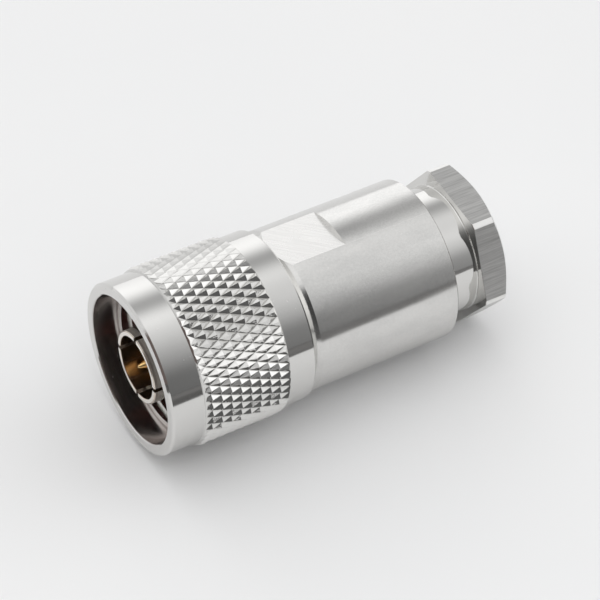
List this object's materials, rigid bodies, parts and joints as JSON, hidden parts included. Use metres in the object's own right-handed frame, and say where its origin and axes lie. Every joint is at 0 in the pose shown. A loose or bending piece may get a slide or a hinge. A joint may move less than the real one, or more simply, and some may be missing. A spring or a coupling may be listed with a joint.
{
  "type": "n type cable plug",
  "caption": "Coaxial cable plug with a knurled coupling nut, slotted outer contact with centre pin, turned body with wrench flats and a hexagon clamp nut for the cable.",
  "frame": {"origin": "on the plug's axis at its reference plane, the front end of the slotted outer contact", "axes": "+X along the axis towards the cable end, the mating end faces -X, +Z square to one wrench flat of the body"},
  "size_m": [0.042, 0.02, 0.02],
  "materials": {
    "nickel_nut": "bright nickel plate",
    "nickel_body": "satin nickel plate",
    "nickel_gland": "bright nickel plate",
    "nickel_contact": "white bronze plate",
    "nickel_inner": "nickel plate",
    "gold": "gold plate",
    "spring_bronze": "plain",
    "ptfe": "matte",
    "silicone": "matte",
    "gasket_rubber": "matte"
  },
  "bodies": {
    "plug_body": {"main_body": "nickel_body", "outer_contact": "nickel_contact", "center_contact": "gold", "front_insulator": "ptfe", "rear_insulator": "ptfe", "interface_gasket": "silicone", "snap_ring": "spring_bronze", "braid_clamp": "nickel_inner", "cable_gasket": "gasket_rubber"},
    "coupling": {"coupling_nut": "nickel_nut"},
    "washer": {"thrust_washer": "nickel_inner"},
    "gland": {"clamp_nut": "nickel_gland"}
  },
  "joints": [
    {"name": "coupling_spin", "type": "hinge", "parent": "plug_body", "child": "coupling", "pos_m": [0.008, 0, 0], "axis": [1, 0, 0], "continuous": true},
    {"name": "clamp_feed", "type": "slide", "parent": "plug_body", "child": "washer", "axis": [1, 0, 0], "range_m": [-0.0026, 0], "deforming": ["cable_gasket"]},
    {"name": "clamp_turn", "type": "hinge", "parent": "washer", "child": "gland", "pos_m": [0.036, 0, 0], "axis": [1, 0, 0], "range_deg": [-884.4, 0]}
  ],
  "couplings": [
    {"joint": "clamp_feed", "follows": "clamp_turn", "m_per_rad": 0.00016844}
  ]
}
